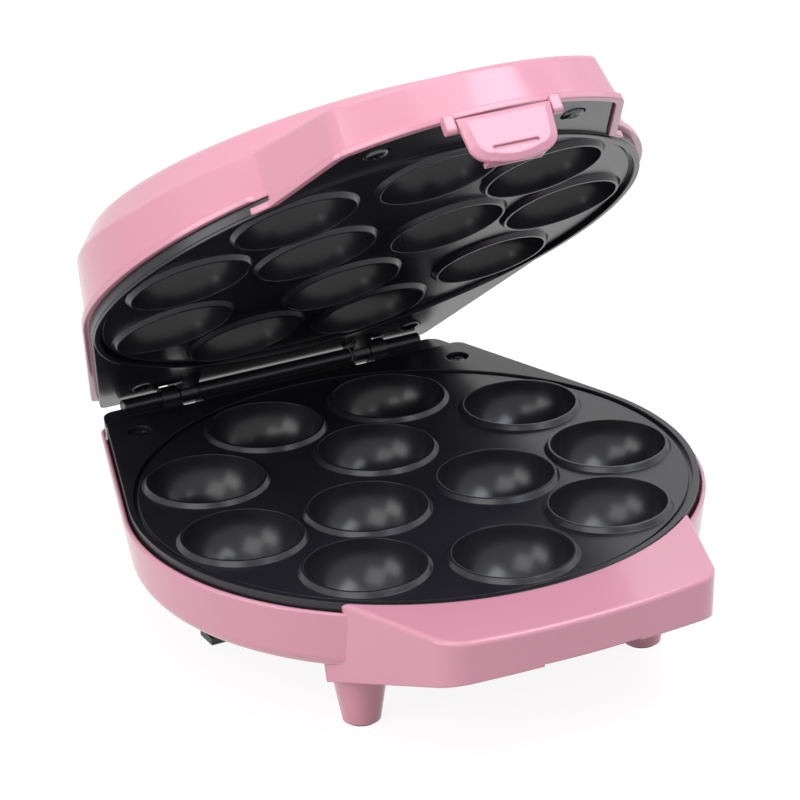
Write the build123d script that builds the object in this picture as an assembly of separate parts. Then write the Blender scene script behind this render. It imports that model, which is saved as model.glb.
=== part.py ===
from build123d import *
import math
import os

# An electric cake pop maker, seen as its assembly of separate pieces: a base on four legs with a
# cast baking plate, and a hinged lid with a second plate, held part way open by its hinge, with a
# swinging latch on the lid's handle. Lengths are millimetres. X points right, Y to the rear and Z
# up. Every piece is drawn with the lid closed, about the middle of the round plate, with the table
# at Z = 0. At the end the lid's pieces are turned open and the whole set is moved to its origin.

# Driving dimensions
CAVITY_R = 19.0  # one pop is a ball of 38 mm, half of it in each plate
CAVITY_WALL = 1.8
OUTER_PITCH_R = 67.5  # circle that carries the outer ring of cavities
OUTER_COUNT = 9
INNER_PITCH_R = 27.0
INNER_COUNT = 3
RIM_Z = 48.6  # height of the lower cavity rims above the table
PLATE_GAP = 0.3  # between the facing cavity rims when the lid is closed
LID_OPEN_DEG = 39.2  # how far the lid stands open
PLATE_CENTRE_Y = -2.68  # from the middle of the rest footprint to the middle of the round plate

# Outlines seen from above: a round front, and straight sides that lean in towards the rear
PLATE_R = 93.0
BASE_R = 95.1
LID_R = 95.1
SIDE_LEAN_DEG = 17.1
PLATE_REAR_Y = 95.6
BASE_REAR_Y = 98.5
LID_REAR_Y = 114.5
LEDGE_REAR_Y = 108.0
REAR_CORNER_R = 4.0
HANDLE_FLANK_SLOPE = 0.35  # mm that each flank of a handle gains in width per mm towards the rear
HANDLE_ROOT_Y = -60.0
BASE_HANDLE_FRONT_Y = -118.4
BASE_HANDLE_HALF_W = 46.5
BASE_HANDLE_FRONT_R = 218.0
BASE_HANDLE_CORNER_R = 12.0
LID_HANDLE_FRONT_Y = -122.0
LID_HANDLE_HALF_W = 48.5
LID_HANDLE_FRONT_R = 84.0
LID_HANDLE_CORNER_R = 9.0

# Baking plates, measured from the cavity rims and away from the pops
BEAD_W = 0.8  # flat top of the raised bead round each cavity
BEAD_FOOT_W = 1.2
CUP_TOP_W = 2.9
FIELD_DEPTH = 1.6
DECK_T = 2.6
LIP_W = 2.1
LIP_DEPTH = 1.0
GROOVE_W = 1.4
GROOVE_DEPTH = 1.0
SKIRT_DEPTH = 7.0
SKIRT_T = 2.4
UPPER_LIP_DEPTH = 0.1
UPPER_LIP_IN = 0.3
UPPER_FLANGE_DEPTH = 1.0
UPPER_STEP_DEPTH = 4.1
UPPER_STEP_IN = 3.5

# Base housing, heights from the cavity rims
BASE_RIM_DROP = 3.9
BASE_WALL = 2.2
BASE_BELT_DROP = 22.5
BASE_BELT_R = 92.7
BASE_FLOOR_DROP = 33.4
BASE_FLOOR_R = 73.0
BASE_FLOOR_REAR_Y = 80.0
BASE_BELT_ROUND = 6.0
BASE_FLOOR_ROUND = 8.0
RIM_ROUND = 0.6
HANDLE_EDGE_ROUND = 1.5
PLATE_SIDE_GAP = 0.8
SEAT_GAP = 0.2  # left between pieces that are screwed together
BASE_HANDLE_TOP_DROP = 0.7
BASE_HANDLE_FOOT_DROP = 13.3
BASE_HANDLE_FOOT_SLOPE = 0.31

# Legs
LEG_X = 50.6
LEG_Y = 59.3
LEG_FOOT_R = 6.1
LEG_TOP_R = 10.6
LEG_TOP_Z = 27.0
FOOT_PAD_R = 5.0
FOOT_PAD_T = 2.0
FOOT_PAD_PROUD = 0.8

# Lid housing, heights from the lower cavity rims
LID_SIDE_RIM_RISE = 4.6
LID_HANDLE_RIM_RISE = 0.5
LID_STEP_Y = -70.0
LID_RIM_FLARE = 0.9
LID_RIM_FLARE_H = 2.0
LID_WALL = 2.3
LID_RIM_W = 2.6
LID_DRAFT_DEG = 9.0
LID_ROOF_RISE = 24.1
LID_ROOF_MIDDLE_Y = 30.7
LID_ROOF_R = 1310.0
CROWN_R = 81.8
CROWN_RISE = 34.8
CROWN_TILT = 0.08
CROWN_DOME = 4.6
CROWN_SHOULDER_SLOPE = 1.15
CROWN_EDGE_ROUND = 8.0
ROOF_EDGE_ROUND = 2.0
LID_TALL = 60.0
REBATE_CLEARANCE = 0.5

# Hinge
HINGE_Y = 106.5
HINGE_DROP = 1.76
HINGE_EAR_R = 3.75
HINGE_PIN_R = 2.0
PIN_FIT = 0.02
PIN_RUNNING_FIT = 0.06
LUG_X = 30.0
LUG_W = 6.4
EAR_W = 6.0
EAR_SIDE_GAP = 0.6
LEDGE_DROP = 3.0
LEDGE_T = 5.0
HINGE_SLOT_GAP = 0.6
HINGE_COVER_R = 2.6  # bar along the hinge line that closes the slit between the plates
HINGE_COVER_HALF_W = 57.0

# Latch on the lid's handle
LATCH_W = 31.2
LATCH_L = 14.8
LATCH_TAPER = 1.6
LATCH_BOW = 1.3
LATCH_CORNER_R = 4.0
LATCH_EDGE_ROUND = 0.8
LATCH_T = 2.0
LATCH_TOP_DROP = 1.4
LATCH_PIN_Y = -120.3
LATCH_PIN_DROP = 2.6
LATCH_PIN_R = 0.9
LATCH_KNUCKLE_R = 1.5
LATCH_LIP = 3.6
LATCH_LIP_T = 1.4
LATCH_CATCH_GAP = 0.35
LATCH_EAR_W = 3.4
LATCH_EAR_DROP = 4.5
LATCH_SIDE_GAP = 0.4
LATCH_GRIP_L = 15.5

# Heating, measured from the cavity rims and away from the pops
ELEMENT_R = 3.25
ELEMENT_RING_R = 47.5
ELEMENT_DEPTH = 16.0
ELEMENT_LEAD_X = 4.0
ELEMENT_LEAD_REAR_Y = 83.0
CLAMP_PITCH_R = 36.0
CLAMP_BOSS_R = 4.0
CLAMP_T = 1.0
CLAMP_W = 8.0
PART_GAP = 0.1  # between the pieces that are fixed under a plate
SHIELD_R = 77.0
SHIELD_T = 0.8
SHIELD_DEPTH = 23.6
SHIELD_POST_R = 3.2
SHIELD_POST_PITCH_R = 72.5
THERMOSTAT_R = 8.0
THERMOSTAT_H = 8.0
THERMOSTAT_BOSS_R = 5.0
THERMOSTAT_DEPTH = 13.0

# Fixings
SCREW_HEAD_R = 3.5
SCREW_HEAD_H = 2.0
SCREW_R = 1.6
SCREW_HOLE_R = 2.1
SCREW_PILOT_R = 1.66
SCREW_L = 13.0
UPPER_SCREW_L = 11.0
PILOT_L = 14.0
LID_PILOT_L = 10.2
POST_R = 4.5
LOWER_SCREW_X = 60.7
LOWER_SCREW_Y = 83.3
LOWER_SCREW_RECESS = 3.4
FRONT_FIXING_X = 28.7
FRONT_FIXING_Y = -78.9
FRONT_FIXING_DEPTH = 20.0
UPPER_REAR_SCREW_X = 51.6
UPPER_REAR_SCREW_Y = 97.2
UPPER_FRONT_SCREW_X = 33.2
UPPER_FRONT_SCREW_Y = -100.7
UPPER_SCREW_RECESS = 1.5
SMALL_SCREW_HEAD_R = 2.8
SMALL_SCREW_HEAD_H = 1.6
SMALL_SCREW_R = 1.3
SMALL_SCREW_PILOT_R = 1.35

# Fittings on sides that face away
BUSHING_X = -34.0
BUSHING_DROP = 15.0
BUSHING_R = 5.0
BUSHING_BORE_R = 3.3
BUSHING_FLANGE_R = 7.0
TERMINAL_W = 28.0
TERMINAL_D = 11.0
TERMINAL_H = 11.0
TERMINAL_DROP = 9.5
FUSE_R = 2.0
FUSE_L = 18.0
FUSE_PITCH_R = 66.0
FUSE_DEG = 10.0
CLEAT_X = 65.0
CLEAT_Y = 13.0
CLEAT_W = 9.0
CLEAT_TIP_Z = 1.6
LIGHT_X = 11.0
LIGHT_Y = -99.0
LENS_R = 4.0
LENS_SKIRT_L = 9.0
LAMP_R = 2.4
LAMP_L = 12.0

# Worked out from the values above
SIDE_LEAN = math.radians(SIDE_LEAN_DEG)
UPPER_RIM_Z = RIM_Z + PLATE_GAP
HINGE_Z = RIM_Z - HINGE_DROP
LATCH_PIN_Z = RIM_Z - LATCH_PIN_DROP
EAR_X = LUG_X + LUG_W + EAR_SIDE_GAP
CUP_R = CAVITY_R + CAVITY_WALL
CUP_FLOOR_R = CUP_R * 0.46  # flat underneath, so the cup's cone clears the bowl all the way down
OUTER_START_DEG = 270.0
INNER_START_DEG = 90.0
CLAMP_ANGLES = [INNER_START_DEG - 60 + 120 * k for k in range(INNER_COUNT)]
SHIELD_POST_ANGLES = [INNER_START_DEG - 40 + 120 * k for k in range(INNER_COUNT)]


def edges_at(shape, z):
    return shape.edges().filter_by_position(Axis.Z, z - 0.02, z + 0.02)


def polar(radius, degrees):
    angle = math.radians(degrees)
    return radius * math.cos(angle), radius * math.sin(angle)


def cavity_places():
    outer = [polar(OUTER_PITCH_R, OUTER_START_DEG + k * 360 / OUTER_COUNT) for k in range(OUTER_COUNT)]
    inner = [polar(INNER_PITCH_R, INNER_START_DEG + k * 360 / INNER_COUNT) for k in range(INNER_COUNT)]
    return outer + inner


def both_sides(x, y):
    return [(-x, y), (x, y)]


def cylinder(radius, low_z, high_z, place=(0, 0)):
    return Pos(place[0], place[1], (low_z + high_z) / 2) * Cylinder(radius, high_z - low_z)


def box(x_range, y_range, z_range):
    size = [high - low for low, high in (x_range, y_range, z_range)]
    middle = [(low + high) / 2 for low, high in (x_range, y_range, z_range)]
    return Pos(*middle) * Box(*size)


def slab(outline, low_z, high_z):
    return extrude(Pos(0, 0, low_z) * outline, high_z - low_z)


def side_x(radius, y):
    """Half width at y of the straight sides that leave a circle of this radius."""
    return (radius - y * math.sin(SIDE_LEAN)) / math.cos(SIDE_LEAN)


def body_outline(radius, rear_y, corner_r=REAR_CORNER_R):
    tangent_x = radius * math.cos(SIDE_LEAN)
    tangent_y = radius * math.sin(SIDE_LEAN)
    corner_x = side_x(radius, rear_y)
    front = ThreePointArc((-tangent_x, tangent_y), (0, -radius), (tangent_x, tangent_y))
    rest = Polyline(
        (tangent_x, tangent_y), (corner_x, rear_y), (-corner_x, rear_y), (-tangent_x, tangent_y)
    )
    face = make_face([front, *rest.edges()])
    return fillet(face.vertices().sort_by(Axis.Y)[-2:], corner_r)


def handle_outline(front_y, half_w, front_r, corner_r):
    corner_y = front_y + front_r - math.sqrt(front_r**2 - half_w**2)
    root_x = half_w + (HANDLE_ROOT_Y - corner_y) * HANDLE_FLANK_SLOPE
    front = ThreePointArc((-half_w, corner_y), (0, front_y), (half_w, corner_y))
    rest = Polyline(
        (half_w, corner_y), (root_x, HANDLE_ROOT_Y), (-root_x, HANDLE_ROOT_Y), (-half_w, corner_y)
    )
    face = make_face([front, *rest.edges()])
    return fillet(face.vertices().sort_by(Axis.Y)[:2], corner_r)


def base_handle_outline():
    return handle_outline(
        BASE_HANDLE_FRONT_Y, BASE_HANDLE_HALF_W, BASE_HANDLE_FRONT_R, BASE_HANDLE_CORNER_R
    )


def lid_outline():
    return body_outline(LID_R, LID_REAR_Y) + handle_outline(
        LID_HANDLE_FRONT_Y, LID_HANDLE_HALF_W, LID_HANDLE_FRONT_R, LID_HANDLE_CORNER_R
    )


def inset(outline, amount):
    return offset(outline, amount=-amount, kind=Kind.INTERSECTION)


def drafted(outline, low_z, high_z, amount):
    """A prism whose walls lean in by amount from its lower outline to its upper one."""
    return loft([Pos(0, 0, low_z) * outline, Pos(0, 0, high_z) * inset(outline, amount)], ruled=True)


# Baking plates. Each is drawn face up with its cavity rims at Z = 0, and the upper one is turned over.


def cavity_cup():
    """One cavity with its wall and its raised bead, as a turned profile."""
    half = math.radians(45)
    bowl = ThreePointArc((0, -CAVITY_R), (CAVITY_R * math.sin(half), -CAVITY_R * math.cos(half)), (CAVITY_R, 0))
    rest = Polyline(
        (CAVITY_R, 0),
        (CAVITY_R + BEAD_W, 0),
        (CAVITY_R + BEAD_W + BEAD_FOOT_W, -FIELD_DEPTH),
        (CAVITY_R + CUP_TOP_W, -FIELD_DEPTH - DECK_T),
        (CUP_FLOOR_R, -CUP_R),
        (0, -CUP_R),
        (0, -CAVITY_R),
    )
    return revolve(Plane.XZ * make_face([bowl, *rest.edges()]), Axis.Z)


def plate_bosses():
    """The cast bosses under a plate that carry its element clamps, heat shield and thermostat."""
    top = -FIELD_DEPTH - DECK_T / 2
    bosses = cylinder(THERMOSTAT_BOSS_R, -THERMOSTAT_DEPTH, top)
    clamp_z = -ELEMENT_DEPTH - ELEMENT_R
    room_r = ELEMENT_RING_R - ELEMENT_R * 1.3
    for angle in CLAMP_ANGLES:
        place = polar(CLAMP_PITCH_R, angle)
        bosses += cylinder(CLAMP_BOSS_R, clamp_z, top, place) & cylinder(room_r, clamp_z, top)
        bosses -= cylinder(SMALL_SCREW_PILOT_R, clamp_z, clamp_z + 8, place)
    for angle in SHIELD_POST_ANGLES:
        place = polar(SHIELD_POST_PITCH_R, angle)
        bosses += cylinder(SHIELD_POST_R, -SHIELD_DEPTH, top, place)
        bosses -= cylinder(SMALL_SCREW_PILOT_R, -SHIELD_DEPTH, -SHIELD_DEPTH + 8, place)
    return bosses


def cavities_into(plate):
    """Cuts the plate open at every cavity, and adds the cups."""
    places = [Pos(x, y, 0) for x, y in cavity_places()]
    opening_r = CAVITY_R + CAVITY_WALL / 2
    plate -= [place * Cylinder(opening_r, 60) for place in places]
    cup = cavity_cup()
    return plate + [place * cup for place in places]


def lip_and_groove(plate, lip_depth):
    """Sinks the round field inside its lip, with the groove that catches spilt batter."""
    field = cylinder(PLATE_R - LIP_W, -FIELD_DEPTH, 20)
    groove_out = cylinder(PLATE_R - LIP_W, -FIELD_DEPTH - GROOVE_DEPTH, 20)
    groove_in = cylinder(PLATE_R - LIP_W - GROOVE_W, -FIELD_DEPTH - GROOVE_DEPTH, 20)
    return plate - field - (groove_out - groove_in)


def hinge_barrel(x, radius, width):
    """A round knuckle on the hinge line, from x outwards, on both sides."""
    barrel = Rot(0, 90, 0) * Cylinder(radius, width)
    middle = x + width / 2
    return [Pos(side * middle, HINGE_Y, HINGE_Z) * barrel for side in (-1, 1)]


def hinge_slots(x, width, y_from, z_range):
    """Clear spaces for the other plate's knuckles, open to the rear."""
    rear = LID_REAR_Y + 20
    low_x = x - HINGE_SLOT_GAP
    high_x = x + width + HINGE_SLOT_GAP
    return [
        box((low_x, high_x), (y_from, rear), z_range),
        box((-high_x, -low_x), (y_from, rear), z_range),
    ]


def ledge_outline():
    return body_outline(PLATE_R, LEDGE_REAR_Y, 5.5)


def lower_plate():
    outline = body_outline(PLATE_R, PLATE_REAR_Y)
    deck_z = -FIELD_DEPTH - DECK_T
    plate = slab(outline, deck_z, -LIP_DEPTH)
    plate += slab(outline, -SKIRT_DEPTH, deck_z) - slab(inset(outline, SKIRT_T), -SKIRT_DEPTH, deck_z)
    plate = lip_and_groove(plate, LIP_DEPTH)
    ledge = slab(ledge_outline(), -LEDGE_DROP - LEDGE_T, -LEDGE_DROP)
    plate += ledge & box((-90, 90), (PLATE_REAR_Y - SKIRT_T, LEDGE_REAR_Y), (-20, 0))
    plate += plate_bosses()
    for place in both_sides(LOWER_SCREW_X, LOWER_SCREW_Y):
        plate += cylinder(POST_R, -SKIRT_DEPTH - 1, deck_z, place)
        plate -= cylinder(SCREW_HEAD_R + 0.6, -LOWER_SCREW_RECESS - 1, 5, place)
        plate -= cylinder(SCREW_HOLE_R, -20, 5, place)
    for place in both_sides(FRONT_FIXING_X, FRONT_FIXING_Y):
        plate += cylinder(POST_R, -FRONT_FIXING_DEPTH, deck_z, place)
        plate -= cylinder(SCREW_PILOT_R, -FRONT_FIXING_DEPTH, -FRONT_FIXING_DEPTH + PILOT_L, place)
    plate = Pos(0, 0, RIM_Z) * cavities_into(plate)
    ear_foot_z = RIM_Z - LEDGE_DROP - LEDGE_T / 2
    for barrel in hinge_barrel(EAR_X, HINGE_EAR_R, EAR_W):
        plate += barrel
    for side in (-1, 1):
        near, far = sorted((side * EAR_X, side * (EAR_X + EAR_W)))
        plate += box((near, far), (HINGE_Y - HINGE_EAR_R, HINGE_Y + 1), (ear_foot_z, HINGE_Z))
    cover = Rot(0, 90, 0) * Cylinder(HINGE_COVER_R, 2 * HINGE_COVER_HALF_W)
    plate += Pos(0, HINGE_Y, HINGE_Z) * cover
    lug_room = (RIM_Z - 20, RIM_Z + 5)
    plate -= hinge_slots(LUG_X, LUG_W, HINGE_Y - HINGE_EAR_R - 3.5, lug_room)
    return plate - hinge_barrel(LUG_X, HINGE_PIN_R + PIN_FIT, 20)


def upper_flange_outline(amount):
    """The plate's edge: round at the sides, and under the lid's handle set in from its rim."""
    rear_y = LID_REAR_Y - LID_R + PLATE_R + PLATE_SIDE_GAP
    round_part = body_outline(PLATE_R - amount, rear_y - amount)
    handle = handle_outline(
        LID_HANDLE_FRONT_Y, LID_HANDLE_HALF_W, LID_HANDLE_FRONT_R, LID_HANDLE_CORNER_R
    )
    return round_part + inset(handle, LID_RIM_W + PLATE_SIDE_GAP + amount)


def upper_plate():
    outline = upper_flange_outline(0)
    deck_z = -FIELD_DEPTH - DECK_T
    step_outline = upper_flange_outline(UPPER_STEP_IN)
    plate = slab(outline, -UPPER_STEP_DEPTH, -UPPER_FLANGE_DEPTH)
    plate += slab(step_outline, -SKIRT_DEPTH, -UPPER_FLANGE_DEPTH - 1)
    plate += cylinder(PLATE_R - UPPER_LIP_IN, -UPPER_FLANGE_DEPTH - 1, -UPPER_LIP_DEPTH)
    plate -= slab(upper_flange_outline(UPPER_STEP_IN + SKIRT_T), -SKIRT_DEPTH - 1, deck_z)
    plate = lip_and_groove(plate, UPPER_LIP_DEPTH)
    plate += plate_bosses()
    plate = cavities_into(plate)
    screws = both_sides(UPPER_REAR_SCREW_X, UPPER_REAR_SCREW_Y)
    screws += both_sides(UPPER_FRONT_SCREW_X, UPPER_FRONT_SCREW_Y)
    plate -= [cylinder(POST_R + 0.6, -20, -UPPER_STEP_DEPTH, place) for place in screws]
    plate -= [cylinder(SCREW_HOLE_R, -20, 5, place) for place in screws]
    seat_z = -UPPER_FLANGE_DEPTH - UPPER_SCREW_RECESS
    plate -= [cylinder(SCREW_HEAD_R + 0.6, seat_z, 5, place) for place in screws]
    plate = Pos(0, 0, UPPER_RIM_Z) * mirror(plate, Plane.XY)
    plate -= hinge_slots(EAR_X, EAR_W, HINGE_Y - HINGE_EAR_R - 0.8, (RIM_Z - 9, RIM_Z + 20))
    root_z = UPPER_RIM_Z + UPPER_FLANGE_DEPTH
    for side in (-1, 1):
        lug = Polyline(
            (HINGE_Y - HINGE_EAR_R, HINGE_Z),
            (HINGE_Y - 11.5, root_z),
            (HINGE_Y - 11.5, root_z + 1),
            (HINGE_Y + HINGE_EAR_R, root_z + 1),
            (HINGE_Y + HINGE_EAR_R, HINGE_Z),
            close=True,
        )
        web = extrude(Plane.YZ * make_face(lug.edges()), LUG_W)
        plate += Pos(LUG_X if side > 0 else -LUG_X - LUG_W, 0, 0) * web
    plate += hinge_barrel(LUG_X, HINGE_EAR_R, LUG_W)
    return plate - hinge_barrel(LUG_X - 5, HINGE_PIN_R + PIN_RUNNING_FIT, 20)


# Base housing


def base_body(amount):
    """The base's outer form, or its inner one when it is set in by amount."""
    rim = body_outline(BASE_R - amount, BASE_REAR_Y - amount)
    belt = body_outline(BASE_BELT_R - amount, BASE_REAR_Y - amount)
    floor = body_outline(BASE_FLOOR_R - amount / 2, BASE_FLOOR_REAR_Y - amount / 2)
    rim_z = RIM_Z - BASE_RIM_DROP
    belt_z = RIM_Z - BASE_BELT_DROP
    floor_z = RIM_Z - BASE_FLOOR_DROP + amount
    walls = loft([Pos(0, 0, belt_z) * belt, Pos(0, 0, rim_z) * rim], ruled=True)
    body = walls + loft([Pos(0, 0, floor_z) * floor, Pos(0, 0, belt_z) * belt], ruled=True)
    if amount:
        return body
    body = fillet(edges_at(body, belt_z), BASE_BELT_ROUND)
    body = fillet(edges_at(body, floor_z), BASE_FLOOR_ROUND)
    return fillet(edges_at(body, rim_z), RIM_ROUND)


def base_handle(amount):
    """The grip at the base's front, deeper towards the wall."""
    top_z = RIM_Z - BASE_HANDLE_TOP_DROP - amount
    foot_z = RIM_Z - BASE_HANDLE_FOOT_DROP + amount
    outline = base_handle_outline()
    if amount:
        outline = inset(outline, amount)
    grip = extrude(Pos(0, 0, top_z) * outline, -40, taper=3)
    front_y = BASE_HANDLE_FRONT_Y - 1
    rear_y = HANDLE_ROOT_Y + 1
    rear_z = foot_z - (rear_y - front_y) * BASE_HANDLE_FOOT_SLOPE
    side = Polyline(
        (front_y, foot_z), (front_y, top_z + 1), (rear_y, top_z + 1), (rear_y, rear_z), close=True
    )
    grip = grip & extrude(Plane.YZ * make_face(side.edges()), 80, both=True)
    if amount:
        return grip
    edge = [e for e in edges_at(grip, top_z) if e.center().Y < HANDLE_ROOT_Y - 1]
    return fillet(edge, HANDLE_EDGE_ROUND)


def base_shell():
    body = base_body(0)
    handle = base_handle(0)
    front_zone = box((-80, 80), (-140, HANDLE_ROOT_Y), (-10, 80))
    shell = body + (handle & front_zone)
    shell += [leg for leg in legs()]
    inside = base_body(BASE_WALL)
    rebate_low = RIM_Z - SKIRT_DEPTH - SEAT_GAP
    rebate = body_outline(PLATE_R + PLATE_SIDE_GAP, PLATE_REAR_Y + PLATE_SIDE_GAP)
    shell -= inside + (base_handle(BASE_WALL) & front_zone & cylinder(300, 0, RIM_Z - BASE_HANDLE_TOP_DROP))
    shell -= slab(rebate, rebate_low, RIM_Z + 5)
    ledge_room = offset(ledge_outline(), amount=0.4)
    shell -= slab(ledge_room, RIM_Z - LEDGE_DROP - LEDGE_T - 0.3, RIM_Z + 5)
    catch_half = LATCH_W / 2 + 1.2
    catch_y = (BASE_HANDLE_FRONT_Y - 5, LATCH_PIN_Y + LATCH_LIP + 3)
    shell -= box((-catch_half, catch_half), catch_y, (0, RIM_Z - BASE_HANDLE_FOOT_DROP))
    solid = body + handle
    for place in both_sides(LOWER_SCREW_X, LOWER_SCREW_Y):
        top = RIM_Z - SKIRT_DEPTH - 1 - SEAT_GAP
        shell += cylinder(POST_R, 10, top, place) & solid
        shell -= cylinder(SCREW_PILOT_R, top - PILOT_L, top + 1, place)
    for place in both_sides(FRONT_FIXING_X, FRONT_FIXING_Y):
        top = RIM_Z - FRONT_FIXING_DEPTH - SEAT_GAP
        shell += cylinder(POST_R + 1, 0, top, place) & solid
        shell -= cylinder(SCREW_HEAD_R + 0.4, 0, top - 3, place)
        shell -= cylinder(SCREW_HOLE_R, 0, top + 1, place)
    shell -= Pos(BUSHING_X, BASE_REAR_Y, RIM_Z - BUSHING_DROP) * Rot(90, 0, 0) * Cylinder(BUSHING_R + 0.1, 12)
    return shell


def legs():
    """Four tapered feet under the sloping floor, hollowed for their pads."""
    solid_leg = Pos(0, 0, FOOT_PAD_PROUD) * Cone(
        LEG_FOOT_R, LEG_TOP_R, LEG_TOP_Z - FOOT_PAD_PROUD, align=(Align.CENTER, Align.CENTER, Align.MIN)
    )
    solid_leg -= cylinder(FOOT_PAD_R + PART_GAP, 0, FOOT_PAD_T + PART_GAP)
    return [Pos(x, y, 0) * solid_leg for y in (-LEG_Y, LEG_Y) for x in (-LEG_X, LEG_X)]


def foot_pads():
    pad = cylinder(FOOT_PAD_R, 0, FOOT_PAD_T)
    return [Pos(x, y, 0) * pad for y in (-LEG_Y, LEG_Y) for x in (-LEG_X, LEG_X)]


# Lid housing


def lid_volume(amount):
    """The lid's outer form above its rim, or its inner one when it is set in by amount."""
    low_z = RIM_Z + LID_HANDLE_RIM_RISE
    draft = LID_TALL * math.tan(math.radians(LID_DRAFT_DEG))
    walls = drafted(inset(lid_outline(), LID_RIM_FLARE + amount), low_z, low_z + LID_TALL, draft)
    roof_z = RIM_Z + LID_ROOF_RISE - amount - LID_ROOF_R
    roof = Pos(0, LID_ROOF_MIDDLE_Y, roof_z) * Rot(0, 90, 0) * Cylinder(LID_ROOF_R, 300)
    crown_r = CROWN_R - 0.6 * amount
    dome_r = (crown_r**2 + CROWN_DOME**2) / (2 * CROWN_DOME)
    half_r = crown_r / 2
    half_rise = math.sqrt(dome_r**2 - half_r**2) - dome_r + CROWN_DOME
    shoulder_out = 30 / CROWN_SHOULDER_SLOPE
    dome = ThreePointArc((0, CROWN_DOME), (half_r, half_rise), (crown_r, 0))
    if amount:
        dome = Polyline((0, CROWN_DOME), (half_r, half_rise), (crown_r, 0))
    rest = Polyline((crown_r, 0), (crown_r + shoulder_out, -30), (0, -30), (0, CROWN_DOME))
    crown = revolve(Plane.XZ * make_face([*dome.edges(), *rest.edges()]), Axis.Z)
    tilt = Plane(origin=(0, 0, RIM_Z + CROWN_RISE - amount), x_dir=(1, 0, 0), z_dir=(0, -CROWN_TILT, 1))
    form = (walls & roof) + (walls & (tilt * crown))
    if amount:
        return form
    crown_length = 2 * math.pi * CROWN_R
    crown_edge = [edge for edge in form.edges() if abs(edge.length - crown_length) < 1]
    form = fillet(crown_edge, CROWN_EDGE_ROUND)
    return fillet(roof_edges(form), ROOF_EDGE_ROUND)


def roof_edges(form):
    """The edges between the lid's walls and its roof, without those round the crown's foot."""
    found = []
    for edge in form.edges():
        low_z = edge.bounding_box().min.Z
        if low_z > RIM_Z + LID_ROOF_RISE / 2 and edge.length < CROWN_R * 1.5:
            inner_r = math.hypot(edge.center().X, edge.center().Y)
            if edge.geom_type not in (GeomType.LINE, GeomType.CIRCLE) or inner_r > CROWN_R:
                found.append(edge)
    return found


def lid_rim(outline):
    """The small flared lip round the lid's lower edge, lower round the handle."""
    front = box((-100, 100), (-140, LID_STEP_Y), (0, 200))
    rear = box((-100, 100), (LID_STEP_Y, 140), (0, 200))
    handle_z = RIM_Z + LID_HANDLE_RIM_RISE
    side_z = RIM_Z + LID_SIDE_RIM_RISE
    low = slab(outline, handle_z, handle_z + LID_RIM_FLARE_H) & front
    return low + (slab(outline, side_z, side_z + LID_RIM_FLARE_H) & rear)


def latch_ears():
    """Two small cheeks under the lid's handle that carry the latch pin."""
    inner = LATCH_W / 2 + LATCH_SIDE_GAP
    low_z = RIM_Z + LID_HANDLE_RIM_RISE - LATCH_EAR_DROP
    y_range = (LID_HANDLE_FRONT_Y + 0.2, LATCH_PIN_Y + LATCH_KNUCKLE_R + 0.1)
    z_range = (low_z, RIM_Z + LID_HANDLE_RIM_RISE + 1)
    right = box((inner, inner + LATCH_EAR_W), y_range, z_range)
    left = box((-inner - LATCH_EAR_W, -inner), y_range, z_range)
    edges = right.edges().filter_by(Axis.X).group_by(Axis.Z)[0]
    right = fillet(edges, 1.2)
    edges = left.edges().filter_by(Axis.X).group_by(Axis.Z)[0]
    left = fillet(edges, 1.2)
    return [left, right]


def lid_posts():
    """Posts from the lid's roof down to the upper plate."""
    places = both_sides(UPPER_REAR_SCREW_X, UPPER_REAR_SCREW_Y)
    places += both_sides(UPPER_FRONT_SCREW_X, UPPER_FRONT_SCREW_Y)
    low_z = UPPER_RIM_Z + UPPER_STEP_DEPTH + SEAT_GAP
    return [cylinder(POST_R, low_z, RIM_Z + LID_TALL, place) for place in places], places, low_z


def lens_places():
    roof_z = RIM_Z + LID_ROOF_RISE - LID_ROOF_R
    rise = math.sqrt(LID_ROOF_R**2 - (LIGHT_Y - LID_ROOF_MIDDLE_Y) ** 2)
    tilt = math.degrees(math.atan2(LID_ROOF_MIDDLE_Y - LIGHT_Y, rise))
    return [Pos(x, LIGHT_Y, roof_z + rise) * Rot(tilt, 0, 0) for x in (-LIGHT_X, LIGHT_X)]


def lid_shell():
    outline = lid_outline()
    outer = lid_volume(0) + lid_rim(outline)
    side_cut = box((-120, 120), (LID_STEP_Y, 140), (0, RIM_Z + LID_SIDE_RIM_RISE))
    inside = lid_volume(LID_WALL)
    flange_top = UPPER_RIM_Z + UPPER_STEP_DEPTH + REBATE_CLEARANCE
    inside += slab(inset(outline, LID_RIM_W), RIM_Z - 5, flange_top)
    round_room = body_outline(PLATE_R + PLATE_SIDE_GAP, LID_REAR_Y)
    inside += slab(round_room, RIM_Z - 5, RIM_Z + LID_SIDE_RIM_RISE)
    shell = outer - inside
    posts, places, low_z = lid_posts()
    shell += [post & outer for post in posts]
    shell -= [cylinder(SCREW_PILOT_R, low_z - 1, low_z + LID_PILOT_L, place) for place in places]
    shell -= side_cut
    shell += latch_ears()
    pin = Pos(0, LATCH_PIN_Y, LATCH_PIN_Z) * Rot(0, 90, 0) * Cylinder(LATCH_PIN_R + PIN_FIT, LATCH_W + 6)
    shell -= pin
    return shell - [place * Cylinder(LENS_R + PART_GAP, 12) for place in lens_places()]


# Latch


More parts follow.
